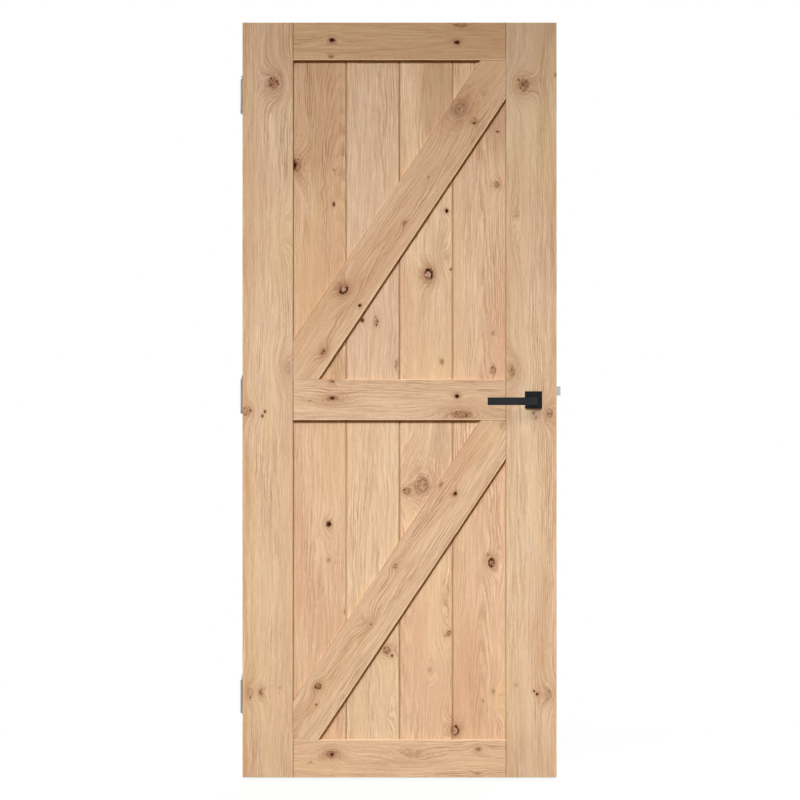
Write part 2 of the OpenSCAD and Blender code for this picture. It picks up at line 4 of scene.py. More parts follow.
import bpy
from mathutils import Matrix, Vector


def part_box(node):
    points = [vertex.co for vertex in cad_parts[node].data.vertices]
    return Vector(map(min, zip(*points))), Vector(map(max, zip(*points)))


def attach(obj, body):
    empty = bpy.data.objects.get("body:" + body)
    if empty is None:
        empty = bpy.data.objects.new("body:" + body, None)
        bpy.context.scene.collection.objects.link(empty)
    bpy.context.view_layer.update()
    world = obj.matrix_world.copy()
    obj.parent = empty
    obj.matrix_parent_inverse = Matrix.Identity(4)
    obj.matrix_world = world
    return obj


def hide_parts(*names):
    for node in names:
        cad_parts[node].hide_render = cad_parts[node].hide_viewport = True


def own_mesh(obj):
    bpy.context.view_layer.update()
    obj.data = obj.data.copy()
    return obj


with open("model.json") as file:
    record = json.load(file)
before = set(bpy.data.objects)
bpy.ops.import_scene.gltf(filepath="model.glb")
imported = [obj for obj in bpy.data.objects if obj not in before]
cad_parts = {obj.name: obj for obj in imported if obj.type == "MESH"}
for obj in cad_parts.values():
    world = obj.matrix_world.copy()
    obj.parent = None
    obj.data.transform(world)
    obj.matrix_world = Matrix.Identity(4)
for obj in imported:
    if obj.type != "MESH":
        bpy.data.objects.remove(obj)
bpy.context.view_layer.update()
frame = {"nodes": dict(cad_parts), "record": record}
nodes = frame["nodes"]
print("frame loaded,", len(nodes), "pieces")


def tint(*screen):  # a screen colour, 0 to 255, as the linear colour a shader takes
    return tuple((c / 255 / 12.92 if c <= 10 else ((c / 255 + 0.055) / 1.055) ** 2.4) for c in screen)


class Value:  # one output socket; arithmetic on it adds Math nodes
    def __init__(self, finish, socket):
        self.finish = finish
        self.socket = socket

    def __add__(self, other):
        return self.finish.math("ADD", self, other)

    def __radd__(self, other):
        return self.finish.math("ADD", other, self)

    def __sub__(self, other):
        return self.finish.math("SUBTRACT", self, other)

    def __rsub__(self, other):
        return self.finish.math("SUBTRACT", other, self)

    def __mul__(self, other):
        return self.finish.math("MULTIPLY", self, other)

    def __rmul__(self, other):
        return self.finish.math("MULTIPLY", other, self)


class Finish:  # a node tree being put together
    def __init__(self, owner):
        owner.use_nodes = True
        self.owner = owner
        self.tree = owner.node_tree
        self.tree.nodes.clear()

    def node(self, kind, settings, inputs, out=0):
        made = self.tree.nodes.new(kind)
        for key, setting in settings.items():
            setattr(made, key, setting)
        for key, value in inputs.items():
            socket = made.inputs[key]
            if isinstance(value, Value):
                self.tree.links.new(value.socket, socket)
            elif isinstance(value, tuple) and socket.type == "RGBA":
                socket.default_value = (*value, 1)
            else:
                socket.default_value = value
        return Value(self, made.outputs[out]) if made.outputs else made

    def math(self, operation, *values):
        return self.node("ShaderNodeMath", {"operation": operation}, dict(enumerate(values)))

    def split(self, vector):
        first = self.node("ShaderNodeSeparateXYZ", {}, {0: vector})
        return [Value(self, out) for out in first.socket.node.outputs]

    def join(self, x, y, z):
        return self.node("ShaderNodeCombineXYZ", {}, {0: x, 1: y, 2: z})

    def noise(self, vector, detail=2.0, roughness=0.5, scale=1.0):
        return self.node("ShaderNodeTexNoise", {},
                         {"Vector": vector, "Scale": scale, "Detail": detail, "Roughness": roughness})

    def rise(self, value, low, high, to=1.0):  # smooth step from 0 at low to "to" at high
        return self.node("ShaderNodeMapRange", {"interpolation_type": "SMOOTHSTEP"},
                         {"Value": value, "From Min": low, "From Max": high, "To Min": 0.0, "To Max": to})

    def blend(self, factor, first, second, mode="MIX"):
        return self.node("ShaderNodeMix", {"data_type": "RGBA", "blend_type": mode, "clamp_factor": True},
                         {0: factor, 6: first, 7: second}, 2)

    def bump(self, height, strength, distance):
        return self.node("ShaderNodeBump", {}, {"Strength": strength, "Distance": distance, "Height": height})

    def surface(self, inputs):
        shader = self.node("ShaderNodeBsdfPrincipled", {}, inputs)
        self.node("ShaderNodeOutputMaterial", {}, {"Surface": shader})
        return self.owner


def newFinish(name):
    return Finish(bpy.data.materials.new(name))


def dress(names, material):
    for name in names:
        mesh = nodes[name].data
        mesh.materials.clear()
        mesh.materials.append(material)


# oak: growth rings cut by the face and bulging round the knots, with streaks, short dashes, fibres and pores along
# the grain, and painted shade and painted highlights along edges and in recesses
oak = {
    "light": tint(241, 213, 179),
    # the silver colour: the silver fleck of the grain, and also a painted highlight along some arrises of the
    # rails and braces
    "silver": tint(250, 228, 198),
    "mid": tint(223, 189, 154),
    "dark": tint(177, 125, 87),
    "rose": tint(217, 171, 138),
    "straw": tint(232, 200, 154),
    "honey": tint(206, 156, 100),
    # the stain colour: dark patches, some of them painted shade that darkens the heads of the stiles and of the
    # upper boards
    "stain_and_shade": tint(156, 99, 64),
    "halo": tint(168, 113, 80),
    "knot": tint(138, 87, 57),
    "bark": tint(106, 60, 32),
    "pitch": tint(40, 22, 12),
    "ash": tint(214, 192, 172),
    # the seam colour: dark joint lines at the rail ends, and painted shade along the stiles' recess edges and the
    # brace's upper edge; the amber colour: painted shade in recess corners, V-grooves, under the rails, beside the
    # braces and on shaded arrises
    "seam_and_shade": tint(104, 60, 28),
    "amber_shade": tint(180, 118, 52),
    "ringsPerMetre": 205.0,
    "ringDepth": 0.33,
    "hairDepth": 0.95,
    "dashDepth": 0.6,
    "silverDepth": 0.86,
    "strawDepth": 0.5,
    "bend": 0.55,
    "swirl": 2.6,
    "knotDepth": 900.0,
    "seedStep": 7.31,
    "gloss": 0.06,
    "bump": (0.35, 0.0005),
}

# noises of the oak: cycles per metre along the grain, across it and into the wood,
# the sign of the seed on each, octaves and roughness
oakNoises = {
    "grit": ((230, 330, 330), (0, 0, 1), 3, 0.65),
    "shape": ((95, 120, 60), (0, 0, -1), 2, 0.6),
    "slow": ((1.5, 4.5, 4.5), (1, 0, 0), 1.5, 0.5),
    "quick": ((9, 18, 18), (-1, 0, 0), 2, 0.5),
    "curl": ((26, 22, 22), (0, 0, 1), 2, 0.5),
    "fuzz": ((30, 160, 160), (0, 0, 1), 3, 0.6),
    "strength": ((2.6, 26, 26), (0, 0, -1), 2, 0.5),
    "hair": ((13, 310, 310), (0, 1, 0), 3, 0.62),
    "streak": ((6, 165, 165), (-1, 0, 0), 4, 0.68),
    "dash": ((52, 230, 230), (0, 1, 0), 3, 0.6),
    "fibre": ((16, 640, 640), (0, 1, 0), 2, 0.6),
    "pores": ((48, 1500, 1500), (0, 0, 1), 1, 0.5),
    "patch": ((1.6, 10, 10), (0, -1, 0), 2, 0.5),
    "straw": ((2.1, 17, 17), (1, 0, 0), 2, 0.5),
}

# where each value starts to show and where it shows in full
oakRanges = {
    "pip": (0.7, 0.22), "ringStart": (0.0, 0.16), "ringEnd": (0.25, 0.85), "strength": (0.38, 0.68),
    "pores": (0.58, 0.7), "streak": (0.32, 0.7), "hair": (0.5, 0.8), "dash": (0.48, 0.84),
    "silver": (0.5, 0.22), "straw": (0.45, 0.72), "patch": (0.42, 0.75), "band": (0.3, 0.6),
    "stain_and_shade": (0.2, 0.8), "fill": (-0.28, 0.24), "bark": (0.05, 0.6), "pitch": (0.55, 1.0),
    "skin": (0.005, 0.001),
}

upright, flat = (0.0, 1.0), (1.0, 0.0)
braceRise, braceRun = 0.8935, 0.596
slope = math.atan2(braceRise, braceRun)
slant = (math.cos(slope), math.sin(slope))

# kinds of knot: brown fill, dark core, rim, dark pips, pale heart, halo,
# rings round it, how far the grain bulges, how ragged it is
knotKinds = {
    "paw": {"fill": 1.0, "pips": 0.55, "halo": 0.45, "rings": 0.5, "lift": 1.35, "ragged": 0.9},
    "pips": {"fill": 0.55, "pips": 0.6, "halo": 0.25, "lift": 0.4, "ragged": 1.1},
    "hole": {"fill": 0.9, "core": 1.0, "halo": 0.6, "lift": 0.9, "ragged": 2.2},
    "eye": {"fill": 0.8, "rim": 0.4, "pips": 0.45, "halo": 0.4, "rings": 0.6, "lift": 0.9, "ragged": 0.8},
    "moon": {"fill": 0.9, "rim": 1.0, "pips": 0.6, "heart": 0.8, "halo": 0.9, "rings": 0.5, "lift": 1.0,
             "ragged": 1.2},
    "spot": {"fill": 1.0, "pips": 0.4, "halo": 0.35, "lift": 0.8, "ragged": 0.9},
    "pin": {"fill": 0.8, "core": 0.72, "halo": 0.4, "lift": 0.5, "ragged": 1.5},
    "plug": {"fill": 1.0, "rim": 0.9, "pips": 0.75, "halo": 0.6, "rings": 0.4, "lift": 1.0, "ragged": 0.8},
    "shade": {"fill": 0.8, "pips": 0.4, "halo": 0.5, "rings": 0.6, "lift": 0.9, "ragged": 0.8},
}

# how a knot is drawn, by distance from its middle in half widths
knotShape = {
    "fill": (1.3, 0.75), "core": (1.25, 0.35), "heart": (0.8, 0.4), "heartGrit": (-0.3, 0.1),
    "ringTurns": 1.5, "ringWobble": 0.8, "ringStart": (0.0, 0.3), "ringEnd": (0.95, 0.4), "ringsFrom": (0.8, 1.4),
    "rimAt": 0.85, "rimFall": -26.0, "crescentFall": -14.0, "crescentShape": 0.5, "crescentPips": 0.35,
    "crescentGrit": 0.6, "crescentFrom": -0.5, "crescentTo": 0.3,
}


def oakNoise(f, name, u, across, y, seed):
    scales, signs, octaves, roughness = oakNoises[name]
    place = [way * scale for way, scale in zip((u, across, y), scales)]
    place = [at + seed * sign if sign else at for at, sign in zip(place, signs)]
    return f.noise(f.join(*place), octaves, roughness)


def hill(f, along, across, place, grain, wide, long):  # offsets from a place on the face, and a smooth hill there
    gx, gz = grain
    px, pz = place
    du, dv = along - (px * gx + pz * gz) / 1000, across - (px * gz - pz * gx) / 1000
    a, b = du * (1000 / long), dv * (1000 / wide)
    square = a * a + b * b
    return du, dv, square, f.math("EXPONENT", square * -1)


def knotMarks(f, piece, along, across, inner, shape, grit, pip):  # shift of the lines, and each knot's marks
    gx, gz = piece["grain"]
    shift, marks = 0.0, dict.fromkeys(("halo", "rings", "fill", "heart", "dark"))
    side = piece["side"]

    def mark(name, value):
        marks[name] = f.math("MAXIMUM", marks[name], value) if marks[name] else value

    for kind, kx, kz, size, long, amount, *turn in piece["knots"]:
        own = knotKinds[kind]
        wide = size * oak["swirl"]
        du, dv, square, near = hill(f, along, across, (kx, kz), piece["grain"], wide, wide * long)
        shift = shift + near * (side * wide * own["lift"] / 1000) - dv * near * oak["bend"]
        deep = inner * (oak["knotDepth"] / wide)
        wobble = shape * (knotShape["crescentShape"] if turn else 1.0) + grit * own["ragged"]
        far = f.math("SQRT", square + deep * deep) * oak["swirl"] + wobble
        inside = f.rise(far, *knotShape["fill"])
        mark("halo", near * near * f.math("EXPONENT", deep * deep * -1) * (own["halo"] * amount))
        mark("fill", inside * (own["fill"] * amount))
        if "rings" in own:
            turnOf = f.math("FRACT", far * knotShape["ringTurns"] + shape * knotShape["ringWobble"])
            line = f.rise(turnOf, *knotShape["ringStart"]) * f.rise(turnOf, *knotShape["ringEnd"])
            mark("rings", line * near * f.rise(far, *knotShape["ringsFrom"], own["rings"] * amount))
        if "core" in own:
            mark("dark", f.rise(far, *knotShape["core"], own["core"] * amount))
        if "rim" in own:
            off = far - knotShape["rimAt"]
            fall = knotShape["crescentFall" if turn else "rimFall"]
            rim = f.math("EXPONENT", off * off * fall) * (own["rim"] * amount)
            if turn:  # darkest on one side
                tx, tz = math.cos(math.radians(turn[0])), math.sin(math.radians(turn[0]))
                facing = du * (tx * gx + tz * gz) + dv * (tx * gz - tz * gx)
                half = size / 1000
                facing = facing + grit * (knotShape["crescentGrit"] * half)
                lit = f.rise(facing, knotShape["crescentFrom"] * half, knotShape["crescentTo"] * half)
                rim = rim * (knotShape["crescentPips"] * pip + lit)
            mark("dark", rim)
        if "heart" in own:
            heart = f.rise(far, *knotShape["heart"], own["heart"] * amount)
            mark("heart", heart * f.rise(grit, *knotShape["heartGrit"]))
        if "pips" in own:
            mark("dark", inside * pip * (own["pips"] * amount))
        side = -side
    return shift, marks


def oakFinish(name, piece):
    f = newFinish(name)
    grain = gx, gz = piece["grain"]
    low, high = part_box(piece["node"])
    mid = (low + high) / 2
    u0, v0 = mid.x * gx + mid.z * gz, mid.x * gz - mid.z * gx
    seed = piece["seed"] * oak["seedStep"]
    x, y, z = f.split(f.node("ShaderNodeTexCoord", {}, {}, "Object"))
    along, across = x * gx + z * gz, x * gz - z * gx
    u, v = along - u0, across - v0
    grit = oakNoise(f, "grit", u, v, y, seed) - 0.5
    shape = oakNoise(f, "shape", u, v, y, seed) - 0.5
    cells = f.join(u * 105 + grit * 0.5, v * 140, y * 30 + seed)
    cell = f.node("ShaderNodeTexVoronoi", {}, {"Vector": cells, "Scale": 1.0})
    lot = f.split(Value(f, cell.socket.node.outputs["Color"]))[0]
    pip = f.rise(cell + grit * 0.55, *oakRanges["pip"]) * (0.45 + 0.65 * lot)
    inner = piece["face"] / 1000 - f.math("ABSOLUTE", y)
    shift, marks = knotMarks(f, piece, along, across, inner, shape, grit, pip)
    bent = v + shift
    for kx, kz, wide, long, lift in piece["loops"]:
        _, dv, _, near = hill(f, along, across, (kx, kz), grain, wide, long)
        bent = bent - dv * near * oak["bend"] + near * (wide * lift / 1000)
    slow = oakNoise(f, "slow", u, v, y, seed) - 0.5
    quick = oakNoise(f, "quick", u, v, y, seed) - 0.5
    curl = oakNoise(f, "curl", u, v, y, seed) - 0.5
    line = bent + slow * piece["sway"] + quick * piece["ripple"] + curl * piece["curl"]
    depth = y + u * piece["taper"] + piece["pithDepth"]
    offset = line - piece["pith"]
    fuzz = oakNoise(f, "fuzz", u, line, y, seed) - 0.5
    radius = f.math("SQRT", offset * offset + depth * depth)
    saw = f.math("FRACT", radius * oak["ringsPerMetre"] + fuzz * 0.8 + slow * 3 + seed)
    ring = f.rise(saw, *oakRanges["ringStart"]) * (1 - f.rise(saw, *oakRanges["ringEnd"]))
    strength = f.rise(oakNoise(f, "strength", u, line, y, seed), *oakRanges["strength"])
    hair = oakNoise(f, "hair", u, line, y, seed)
    streak = oakNoise(f, "streak", u, line, y, seed)
    dash = oakNoise(f, "dash", u, line, y, seed)
    fibre = oakNoise(f, "fibre", u, line, y, seed)
    pores = f.rise(oakNoise(f, "pores", u, line, y, seed), *oakRanges["pores"])
    patch = oakNoise(f, "patch", u, line, y, seed)
    straw = oakNoise(f, "straw", u, line, y, seed)
    lines = 0.25 + 0.75 * strength
    dashes = oak["dashDepth"] * piece["dashes"]
    colour = f.blend(f.rise(streak, *oakRanges["streak"]), oak["light"], oak["mid"])
    colour = f.blend(ring * lines * (oak["ringDepth"] * piece["rings"]), colour, oak["dark"])
    colour = f.blend(f.rise(hair, *oakRanges["hair"]) * lines * oak["hairDepth"], colour, oak["dark"])
    colour = f.blend(f.rise(dash, *oakRanges["dash"]) * lines * dashes, colour, oak["dark"])
    colour = f.blend(f.rise(hair, *oakRanges["silver"], oak["silverDepth"]), colour, oak["silver"])
    colour = f.blend(f.rise(straw, *oakRanges["straw"], oak["strawDepth"]), colour, oak["straw"])
    colour = f.blend(f.rise(patch, *oakRanges["patch"], piece["rosy"]), colour, oak["rose"])
    for at, width, amount, shade in piece["bands"]:
        off = (v + quick * 0.02 - at / 1000) * (1000 / width)
        band = f.math("EXPONENT", off * off * -1) * f.rise(streak, *oakRanges["band"], amount)
        colour = f.blend(band, colour, oak[shade])
    # dark patches, among them painted shade darkening the heads of the stiles and upper boards
    for kx, kz, wide, long, amount in piece["stains_and_shade"]:
        *_, near = hill(f, along, across + quick * 0.006, (kx, kz), grain, wide, long)
        colour = f.blend(f.rise(near, *oakRanges["stain_and_shade"], amount), colour, oak["stain_and_shade"])
    height = fibre * 0.5 + ring * 0.25 - pores * 0.5 - dash * 0.4
    colour = f.blend(marks["halo"] * (0.5 + 0.9 * streak), colour, oak["halo"])
    if marks["rings"]:
        colour = f.blend(marks["rings"], colour, oak["halo"])
    mottle = f.rise(grit * 1.3 + shape * 0.5, *oakRanges["fill"])
    colour = f.blend(marks["fill"] * mottle, colour, oak["knot"])
    if marks["heart"]:
        colour = f.blend(marks["heart"], colour, oak["ash"])
    dark = marks["dark"]
    colour = f.blend(f.rise(dark, *oakRanges["bark"]), colour, oak["bark"])
    colour = f.blend(f.rise(dark, *oakRanges["pitch"]), colour, oak["pitch"])
    height = height - dark * 1.6
    colour = f.blend(1.0, colour, piece["tone"], "MULTIPLY")
    colour = f.blend(pores * (0.1 + 0.25 * ring), colour, oak["knot"])
    skin = f.rise(inner, *oakRanges["skin"]) * (0.7 + 0.6 * dash)
    # lines along given edges: dark joint lines, painted shade in recess corners, V-grooves, under rails, beside
    # braces and on shaded arrises, and painted highlights along arrises
    for way, at, width, amount, shade in piece["edges"]:
        if way == "brace":  # how far the boards lie from the middle of the brace across them
            where = x * slant[1] - (z - piece["middle"] / 1000) * slant[0]
        else:
            where = {"x": x, "z": z, "v": v}[way]
        gap = f.math("ABSOLUTE", where - at / 1000)
        colour = f.blend(f.rise(gap, width / 1000, width / 3000, amount) * skin, colour, oak[shade])
    rough = 0.58 + 0.14 * fibre + 0.08 * pores
    return f.surface({"Base Color": colour, "Roughness": rough, "Specular IOR Level": oak["gloss"],
                      "Normal": f.bump(height, *oak["bump"])})


# what a piece has where its own entry says nothing else; face is half its thickness in millimetres
plain = {
    "face": 20.0, "sway": 0.03, "ripple": 0.011, "curl": 0.0042, "taper": 0.03, "pithDepth": 0.05, "pith": 0.0,
    "rosy": 0.5, "side": 1, "rings": 1.0, "dashes": 1.0, "tone": (1.0, 1.0, 1.0),
    "bands": [], "edges": [], "loops": [], "stains_and_shade": [],
}

# all places and sizes in millimetres on the leaf
# knots: kind, across, up, half width, length for width, amount, and the way a crescent faces in degrees
# loops and stains: across, up, half width, half length, and the lift of the lines or the amount; the stains are
# dark patches, some of them painted shade
# bands: place from the middle of the piece, width, amount, colour; edges: way, place, width, amount, colour; edges
# are dark joint lines, painted shade and painted highlights
stiles = {
    "hinge_stile": {
        "seed": 1, "grain": upright, "pith": 0.02, "taper": 0.012, "side": -1, "rings": 1.55,
        # the edge line at x -298 is painted shade where the stile steps down to the boards; the patch at up 2115
        # is painted shade on the stile's head, and the one at 0 makes its foot darker
        "bands": [(-62, 9, 0.5, "honey"), (-44, 6, 0.3, "honey")], "edges": [("x", -298, 1.6, 0.5, "seam_and_shade")],
        "loops": [(-320, 1538, 19, 85, 1.4)],
        "stains_and_shade": [(-316, 1720, 1.3, 48, 0.75), (-369, 2115, 120, 190, 0.14), (-369, 0, 110, 170, 0.06)],
        "tone": (0.985, 1.01, 1.05),
        "knots": [
            ("paw", -354, 1945, 15, 1.25, 1.0), ("shade", -312, 1148, 12, 1.7, 0.45),
            ("pips", -427, 1026, 13, 1.1, 0.9), ("pin", -377, 1025, 3.6, 1.3, 0.9),
            ("pin", -384, 1013, 3.6, 1.3, 0.9), ("eye", -419, 239, 9, 1.7, 0.5),
            ("pin", -418, 224, 3, 1.2, 0.8), ("paw", -388, 239, 6, 1.6, 1.0), ("pin", -335, 251, 3, 1.2, 0.4),
        ],
    },
    "lock_stile": {
        "seed": 2, "grain": upright, "pith": -0.02, "taper": -0.012, "rings": 1.5,
        "bands": [(60, 10, 0.3, "honey"), (36, 6, 0.3, "honey"), (-8, 24, 0.3, "silver")],
        # the edge line at x 298 is painted shade where the stile steps down to the boards; the patch at up 2115 is
        # painted shade on the stile's head, and the one at 0 makes its foot darker
        "edges": [("x", 298, 1.5, 0.7, "seam_and_shade")], "loops": [(318, 1540, 16, 80, 1.3)],
        "stains_and_shade": [(369, 2115, 120, 190, 0.15), (369, 0, 110, 170, 0.13)], "tone": (0.97, 0.995, 1.015),
        "knots": [
            ("paw", 349, 1940, 15, 1.15, 1.0), ("pin", 334, 1954, 4.5, 1.2, 0.6),
            ("pin", 438, 1968, 4, 1.5, 0.5), ("paw", 314, 1139, 12, 1.5, 0.7), ("spot", 376, 1021, 4, 1.2, 0.8),
            ("spot", 382, 1008, 4, 1.2, 0.8), ("paw", 420, 1020, 11, 1.3, 0.6),
            ("pin", 377, 242, 3.6, 1.2, 0.8), ("pin", 385, 234, 4.4, 1.2, 1.0), ("eye", 418, 232, 11, 1.4, 0.5),
            ("spot", 326, 259, 4, 1.3, 0.5),
        ],
    },
}
railEnds = [("x", -298, 2.2, 0.6, "seam_and_shade"), ("x", 298, 1.5, 0.5, "seam_and_shade")]
rails = {
    "top_rail": {
        "seed": 3, "grain": flat,
        # a painted highlight just above the lower arris (2011.5) and painted shade on the arris itself (2009); the
        # darker tone is painted shade at the head of the leaf
        "edges": railEnds + [("z", 2011.5, 1.8, 0.6, "silver"), ("z", 2009, 2, 0.7, "amber_shade")],
        "tone": (0.82, 0.76, 0.69),
        "knots": [
            ("hole", -189, 2066, 5.6, 1.5, 1.0), ("spot", -192, 2018, 5, 1.4, 0.7),
            ("hole", 161, 2060, 5.6, 1.5, 1.0), ("spot", 172, 2108, 7, 2.5, 0.8),
        ],
    },
    "lock_rail": {
        "seed": 4, "grain": flat, "tone": (0.95, 0.935, 0.945), "stains_and_shade": [(248, 1085, 5, 40, 0.35)],
        # a painted highlight just above the lower arris (1003) and painted shade on the arris itself (1000.5)
        "edges": railEnds + [("z", 1003, 1.8, 0.6, "silver"), ("z", 1000.5, 2, 0.7, "amber_shade")],
        "knots": [
            ("paw", -189, 1110, 4, 2.0, 0.9), ("shade", -188, 1063, 9, 2.2, 0.7),
            ("hole", -188, 1063, 5, 1.9, 0.8), ("hole", 161, 1068, 6.5, 1.1, 1.0),
            ("paw", 174, 1017, 11, 2.6, 0.9), ("pin", -250, 1056, 2.5, 1.5, 0.5),
        ],
    },
    "bottom_rail": {
        "seed": 5, "grain": flat, "tone": (0.98, 0.95, 0.95),
        # a painted highlight along the top arris (104.5)
        "edges": railEnds + [("z", 104.5, 1.8, 0.6, "silver")],
        "knots": [
            ("paw", -191, 65, 10, 1.5, 1.0), ("hole", -190, 65, 5, 1.2, 0.85), ("spot", -250, 43, 4, 1.8, 0.4),
            ("shade", 41, 62, 10, 2.6, 0.4), ("spot", 221, 79, 6, 1.7, 0.9), ("spot", 219, 12, 5, 1.8, 0.5),
        ],
    },
}
boards = {
    "upper_board_1": {
        "seed": 6, "grain": upright, "rosy": 0.6, "tone": (1.0, 0.98, 0.96),
        # the first patch is painted shade darkening the board towards the head of the panel
        "stains_and_shade": [(-224, 1900, 110, 300, 0.2), (-192, 1138, 60, 55, 0.24)], "pith": 0.06, "taper": 0.09,
        "rings": 1.9, "loops": [(-178, 1655, 17, 95, 0.8)],
        "knots": [
            ("paw", -288, 1716, 14, 1.4, 0.8), ("hole", -296, 1716, 8, 1.7, 1.0),
            ("pin", -185, 1703, 3, 1.3, 0.5), ("pin", -184, 1606, 4, 1.7, 1.0),
            ("spot", -216, 1634, 3, 2.4, 0.4),
        ],
    },
    "upper_board_2": {
        "seed": 7, "grain": upright, "rosy": 0.15, "tone": (0.99, 0.99, 1.04),
        "knots": [
            ("pin", -104, 1281, 5, 1.3, 1.0), ("pips", -66, 1277, 8, 1.9, 0.8),
            ("pin", -65, 1269, 3.2, 1.2, 0.9), ("pin", -62, 1278, 2.6, 1.2, 0.9),
            ("spot", -9, 1158, 6, 2.6, 0.6),
        ],
    },
    "upper_board_3": {
        "seed": 8, "grain": upright, "rosy": 0.5, "tone": (1.06, 1.09, 1.1),
        # the first patch is painted shade darkening the board towards the head of the panel
        "loops": [(122, 1449, 20, 60, 1.2)], "stains_and_shade": [(108, 1900, 58, 190, 0.36), (113, 1480, 26, 70, 0.16)],
        "knots": [
            ("hole", 132, 1588, 5.2, 1.25, 0.95), ("moon", 81, 1409, 12, 1.3, 1.0, 40),
            ("pin", 144, 1424, 3, 1.3, 0.7), ("spot", 119, 1165, 5, 1.7, 0.9),
        ],
    },
    "upper_board_4": {
        "seed": 9, "grain": upright, "rosy": 0.5, "tone": (1.03, 1.02, 1.04), "rings": 1.8,
        # this patch is painted shade darkening the board towards the head of the panel
        "stains_and_shade": [(281, 1890, 34, 180, 0.32)],
        "knots": [
            ("pin", 275, 1810, 4.5, 0.6, 0.9), ("eye", 273, 1662, 7, 1.2, 0.9),
            ("spot", 261, 1244, 5, 1.3, 0.5), ("pips", 262, 1141, 9, 1.5, 1.0),
        ],
    },
    "lower_board_1": {
        "seed": 10, "grain": upright, "rosy": 0.8, "tone": (0.985, 0.955, 0.95), "rings": 1.25,
        "knots": [
            ("hole", -198, 710, 7.5, 1.2, 0.95), ("spot", -200, 609, 6, 1.2, 0.7),
            ("spot", -154, 464, 3, 2.5, 0.6),
        ],
    },
    "lower_board_2": {
        "seed": 11, "grain": upright, "rosy": 0.15, "tone": (1.03, 1.06, 1.08), "dashes": 0.85,
        "loops": [(-27, 190, 15, 70, 1.2)],
        "knots": [("eye", -35, 356, 11, 1.0, 0.9), ("pin", -21, 341, 4, 1.3, 0.8)],
    },
    "lower_board_3": {
        "seed": 12, "grain": upright, "rosy": 0.7, "tone": (1.06, 1.08, 1.1), "pith": -0.05, "taper": -0.05,
        "rings": 1.4, "loops": [(122, 520, 17, 110, 1.0), (104, 280, 24, 60, -1.1)],
        "stains_and_shade": [(119, 930, 32, 90, 0.22)],
        "knots": [
            ("shade", 65, 819, 24, 1.3, 0.75), ("eye", 65, 819, 14, 1.4, 0.9), ("paw", 20, 802, 12, 0.9, 0.95),
            ("plug", 139, 404, 5, 1.4, 0.6), ("spot", 85, 302, 6, 1.4, 0.35), ("paw", 152, 131, 11, 1.3, 0.8),
        ],
    },
    "lower_board_4": {
        "seed": 13, "grain": upright, "rosy": 0.6, "tone": (1.02, 1.0, 1.0), "taper": 0.05, "rings": 1.6,
        "loops": [(277, 208, 14, 70, 1.3), (284, 609, 13, 70, -1.2)],
        "knots": [
            ("plug", 259, 601, 9, 1.5, 1.0), ("spot", 248, 624, 4.5, 1.1, 0.9), ("pips", 263, 240, 5, 1.6, 0.8),
            ("pin", 234, 214, 2.6, 1.3, 0.5), ("moon", 155, 131, 11, 1.3, 0.7, 0),
        ],
    },
}
# lines down the board edges: at -298 and 298 painted shade in the recess corners beside the stiles; between boards
# dark joint lines with painted shade in the V-grooves
boardJointsAndShade = {"at": (-298, -149, 0, 149, 298), "width": 3.6, "amount": (0.45, 0.35, 0.5, 0.4, 0.5), "face": 10.0}
panels = {"upper": {"middle": 1562.25, "top": 2009.0}, "lower": {"middle": 553.25, "top": 1000.5}}
for name, own in boards.items():
    panel, number = panels[name[:5]], int(name[-1])
    own["middle"], own["face"] = panel["middle"], boardJointsAndShade["face"]
    sides = [(boardJointsAndShade["at"][i], boardJointsAndShade["width"], boardJointsAndShade["amount"][i]) for i in (number - 1, number)]
    own["edges"] = [("x", *side, "amber_shade") for side in sides]
    # painted shade on the boards under the rail above each panel and beside the lower edge of the brace
    own["edges"] += [("z", panel["top"], 10, 0.6, "amber_shade"), ("brace", 61, 6, 0.5, "amber_shade")]
# along the brace: painted shade on its upper edge (v -60) and on its lower arris (v 60), with a painted highlight
# just inside that arris (v 57.5)
braceEdges = {
    "rings": 2.0, "dashes": 1.4, "tone": (0.96, 0.95, 0.94),
    "edges": [("v", -60, 1.6, 0.6, "seam_and_shade"), ("v", 57.5, 1.8, 0.5, "silver"), ("v", 60, 2, 0.7, "amber_shade")],
}
braces = {
    "upper_brace_front": {
        "seed": 14, "grain": slant, **braceEdges,
        "knots": [
            ("shade", 167, 1874, 22, 1.3, 0.75), ("eye", 167, 1874, 14, 1.4, 0.7),
            ("pips", 209, 1838, 9.5, 1.1, 1.0), ("pips", 237, 1916, 6, 1.2, 0.4),
            ("spot", 15, 1553, 5, 1.4, 0.9), ("moon", -157, 1368, 11, 1.3, 0.9, -60),
            ("hole", -111, 1322, 4.5, 1.1, 1.0), ("paw", -213, 1192, 6, 1.6, 1.0),
            ("pin", 82, 1682, 2.6, 1.2, 0.5),
        ],
    },
    "lower_brace_front": {
        "seed": 15, "grain": slant, **braceEdges, "tone": (0.965, 0.955, 0.955),
        "knots": [
            ("spot", 116, 820, 4, 2.0, 0.8), ("hole", 156, 795, 5.5, 1.25, 1.0),
            ("spot", -12, 592, 7, 1.2, 0.8), ("shade", -94, 441, 9, 1.6, 0.4),
            ("plug", -228, 255, 8, 1.1, 0.75), ("pin", -233, 204, 3, 1.2, 0.7), ("pin", -80, 429, 3, 1.2, 0.6),
        ],
    },
    "upper_brace_back": {
        "seed": 16, "grain": slant,
        "knots": [
            ("paw", 120, 1760, 11, 1.3, 0.9), ("hole", -60, 1480, 5, 1.3, 0.9),
            ("eye", -190, 1262, 9, 1.3, 0.8),
        ],
    },
    "lower_brace_back": {
        "seed": 17, "grain": slant,
        "knots": [
            ("hole", 150, 780, 6, 1.3, 0.9), ("eye", 20, 575, 11, 1.3, 0.8), ("pips", -170, 320, 8, 1.4, 1.0),
        ],
    },
}
